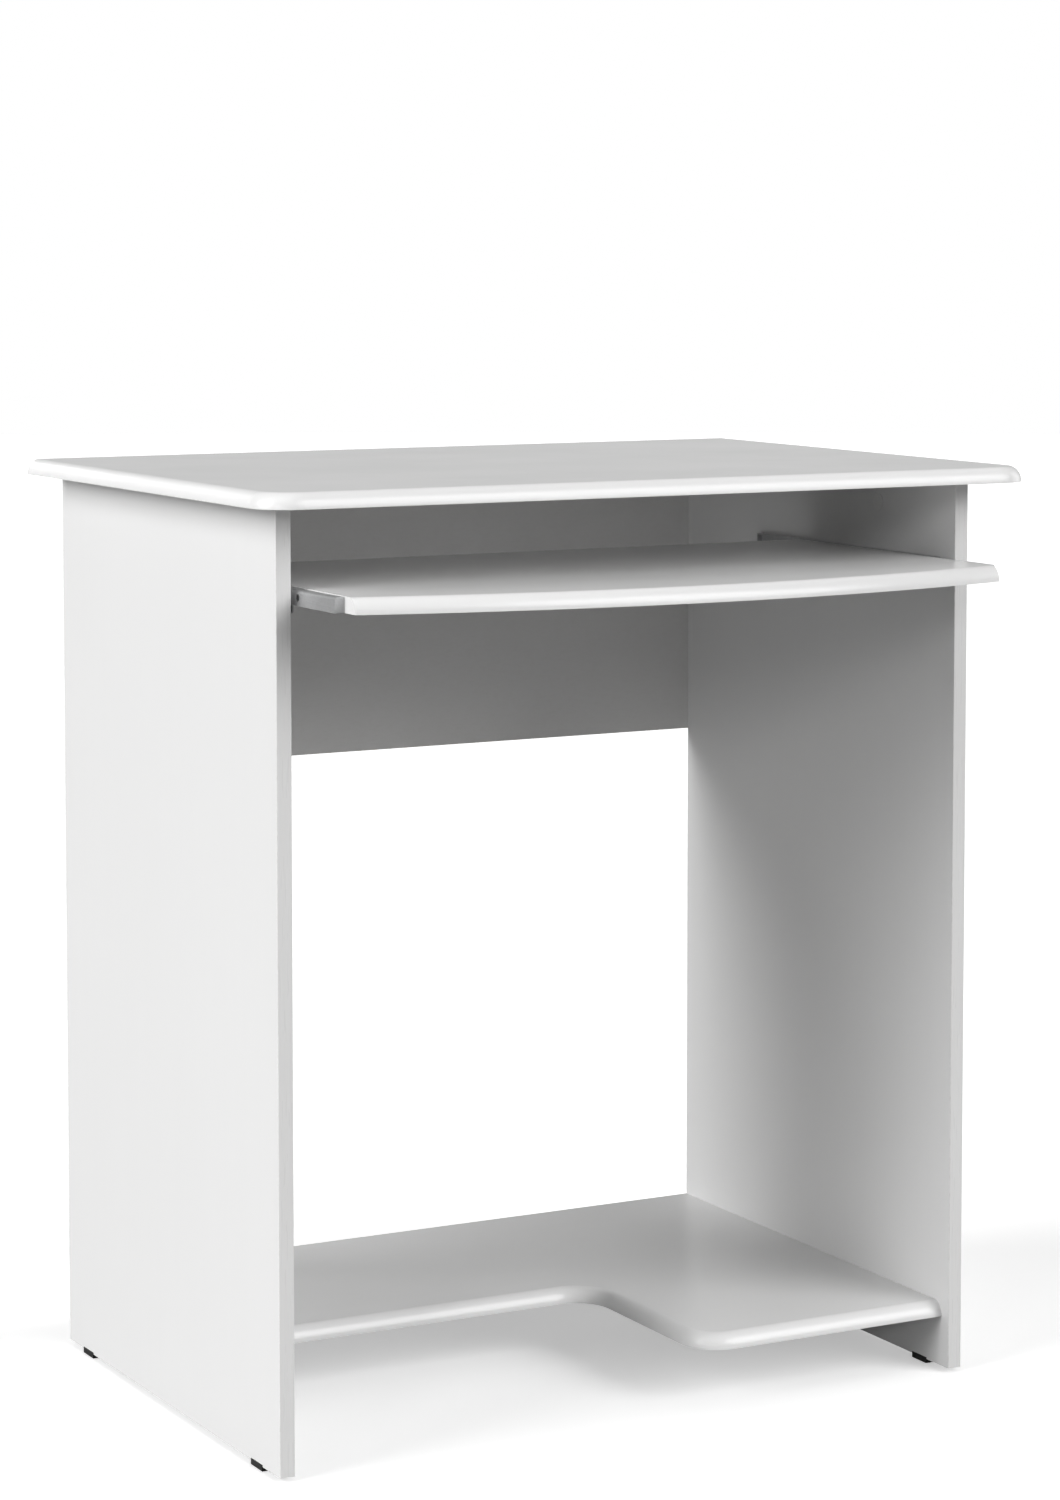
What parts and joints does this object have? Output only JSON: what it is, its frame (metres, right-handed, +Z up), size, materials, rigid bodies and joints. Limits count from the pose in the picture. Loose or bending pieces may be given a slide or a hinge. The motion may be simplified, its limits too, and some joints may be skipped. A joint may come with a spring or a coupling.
{
  "type": "computer desk",
  "caption": "Small upright computer desk with slab sides, a pull-out keyboard tray with a bowed front on steel roller slides, and a stepped lower shelf with a rounded cut-out for the feet.",
  "frame": {"origin": "on the floor, at the centre of the box around the whole desk with its tray in the rest pose, part way out", "axes": "+X to the right of a person sitting at the desk, +Y away from the person towards the back panel, +Z up"},
  "size_m": [0.66, 0.5349, 0.7295],
  "materials": {
    "white_foil_board": "white foil on fibreboard, satin, with soft gloss",
    "white_edge_band": "white edging strip, fine satin",
    "white_hardboard": "thin fibreboard, lacquered white, satin",
    "zinc_steel_sheet": "zinc-plated steel sheet, dull sheen",
    "roller_nylon": "natural white nylon, smooth",
    "fixing_steel": "bright zinc-plated steel",
    "zinc_casting": "die-cast zinc alloy, dull",
    "white_cap_plastic": "white moulded plastic, satin",
    "beech_dowel": "fluted beech, raw",
    "black_foot_plastic": "black moulded plastic, matt"
  },
  "bodies": {
    "desk": {"desktop": "white_foil_board", "left_side_panel": "white_foil_board", "right_side_panel": "white_foil_board", "lower_shelf": "white_foil_board", "left_edge_band": "white_edge_band", "right_edge_band": "white_edge_band", "back_panel": "white_hardboard", "left_runner": "zinc_steel_sheet", "right_runner": "zinc_steel_sheet", "runner_rivets": "fixing_steel", "runner_screws": "fixing_steel", "back_panel_nails": "fixing_steel", "foot_nails": "fixing_steel", "top_cam_bolts": "fixing_steel", "shelf_cam_bolts": "fixing_steel", "top_cams": "zinc_casting", "shelf_cams": "zinc_casting", "top_cam_caps": "white_cap_plastic", "top_dowels": "beech_dowel", "shelf_dowels": "beech_dowel", "left_front_foot": "black_foot_plastic", "left_rear_foot": "black_foot_plastic", "right_front_foot": "black_foot_plastic", "right_rear_foot": "black_foot_plastic"},
    "tray": {"keyboard_tray": "white_foil_board", "left_tray_rail": "zinc_steel_sheet", "right_tray_rail": "zinc_steel_sheet", "rail_screws": "fixing_steel", "rail_rivets": "fixing_steel"},
    "left_front_wheel": {"left_front_roller": "roller_nylon"},
    "right_front_wheel": {"right_front_roller": "roller_nylon"},
    "left_rear_wheel": {"left_rear_roller": "roller_nylon"},
    "right_rear_wheel": {"right_rear_roller": "roller_nylon"}
  },
  "joints": [
    {"name": "tray_slide", "type": "slide", "parent": "desk", "child": "tray", "axis": [0, -1, 0], "range_m": [-0.0795, 0.1715]},
    {"name": "left_front_roll", "type": "hinge", "parent": "desk", "child": "left_front_wheel", "pos_m": [-0.27965, -0.1215, 0.6482], "axis": [1, 0, 0], "continuous": true},
    {"name": "left_rear_roll", "type": "hinge", "parent": "tray", "child": "left_rear_wheel", "pos_m": [-0.2849, 0.0525, 0.6461], "axis": [1, 0, 0], "continuous": true},
    {"name": "right_front_roll", "type": "hinge", "parent": "desk", "child": "right_front_wheel", "pos_m": [0.27965, -0.1215, 0.6482], "axis": [1, 0, 0], "continuous": true},
    {"name": "right_rear_roll", "type": "hinge", "parent": "tray", "child": "right_rear_wheel", "pos_m": [0.2849, 0.0525, 0.6461], "axis": [1, 0, 0], "continuous": true}
  ],
  "couplings": [
    {"joint": "left_front_roll", "follows": "tray_slide", "rad_per_m": 166.67},
    {"joint": "left_rear_roll", "follows": "tray_slide", "rad_per_m": 125},
    {"joint": "right_front_roll", "follows": "tray_slide", "rad_per_m": 166.67},
    {"joint": "right_rear_roll", "follows": "tray_slide", "rad_per_m": 125}
  ]
}
